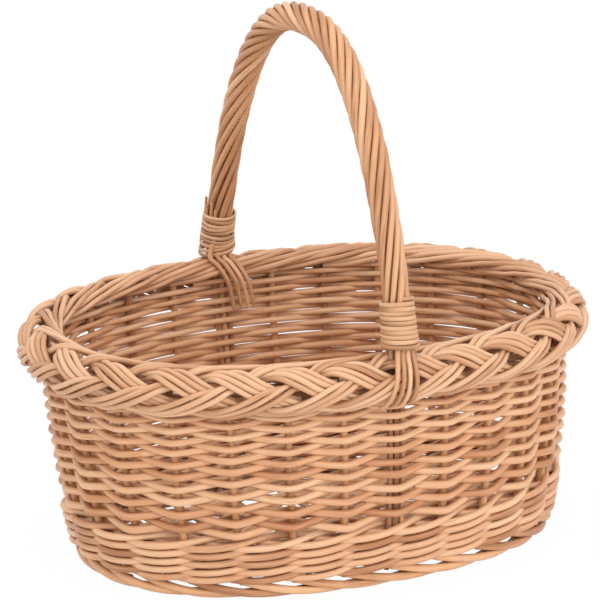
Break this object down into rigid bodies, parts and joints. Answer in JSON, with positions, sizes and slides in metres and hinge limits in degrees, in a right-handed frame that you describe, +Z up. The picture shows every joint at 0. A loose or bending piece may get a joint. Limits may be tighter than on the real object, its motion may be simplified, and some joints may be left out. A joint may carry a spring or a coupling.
{
  "type": "wicker gift basket",
  "caption": "Oval willow basket with a flared woven wall, plaited border, rolled foot and a fixed arched handle of twisted rods lashed at both feet, for carrying gifts.",
  "frame": {"origin": "on the ground under the middle of the basket", "axes": "+Z up, X the long way of the oval, Y the way the handle spans, with its near foot at -Y"},
  "size_m": [0.436, 0.33, 0.4035],
  "materials": {
    "willow_pale": "peeled, satin",
    "willow_buff": "boiled, satin",
    "willow_dark": "boiled, matt"
  },
  "bodies": {
    "root": {"stake_01": "willow_buff", "stake_02": "willow_buff", "stake_03": "willow_buff", "stake_04": "willow_buff", "stake_05": "willow_buff", "stake_06": "willow_buff", "stake_07": "willow_buff", "stake_08": "willow_buff", "stake_09": "willow_buff", "stake_10": "willow_buff", "stake_11": "willow_buff", "stake_12": "willow_buff", "stake_13": "willow_buff", "stake_14": "willow_buff", "stake_15": "willow_buff", "stake_16": "willow_buff", "stake_17": "willow_buff", "stake_18": "willow_buff", "stake_19": "willow_buff", "stake_20": "willow_buff", "stake_21": "willow_buff", "stake_22": "willow_buff", "stake_23": "willow_buff", "stake_24": "willow_buff", "wale_rod_1": "willow_pale", "wale_rod_2": "willow_pale", "wale_rod_3": "willow_pale", "weaver_even": "willow_buff", "weaver_odd": "willow_buff", "base_mat": "willow_buff", "handle_bow": "willow_buff", "border_plait": "willow_pale", "lashing_far": "willow_pale", "lashing_near": "willow_pale", "foot_roll": "willow_dark", "cross_stick_1": "willow_dark", "cross_stick_2": "willow_dark", "cross_stick_3": "willow_dark", "cross_stick_4": "willow_dark", "cross_stick_5": "willow_dark", "cross_stick_6": "willow_dark", "cross_stick_7": "willow_dark", "long_stick_1": "willow_dark", "long_stick_2": "willow_dark", "long_stick_3": "willow_dark", "handle_rod_1": "willow_pale", "handle_rod_2": "willow_pale", "handle_rod_3": "willow_pale", "handle_rod_4": "willow_pale", "handle_rod_5": "willow_pale", "handle_rod_6": "willow_pale", "handle_rod_7": "willow_pale", "handle_rod_8": "willow_pale", "handle_rod_9": "willow_pale"}
  },
  "joints": []
}
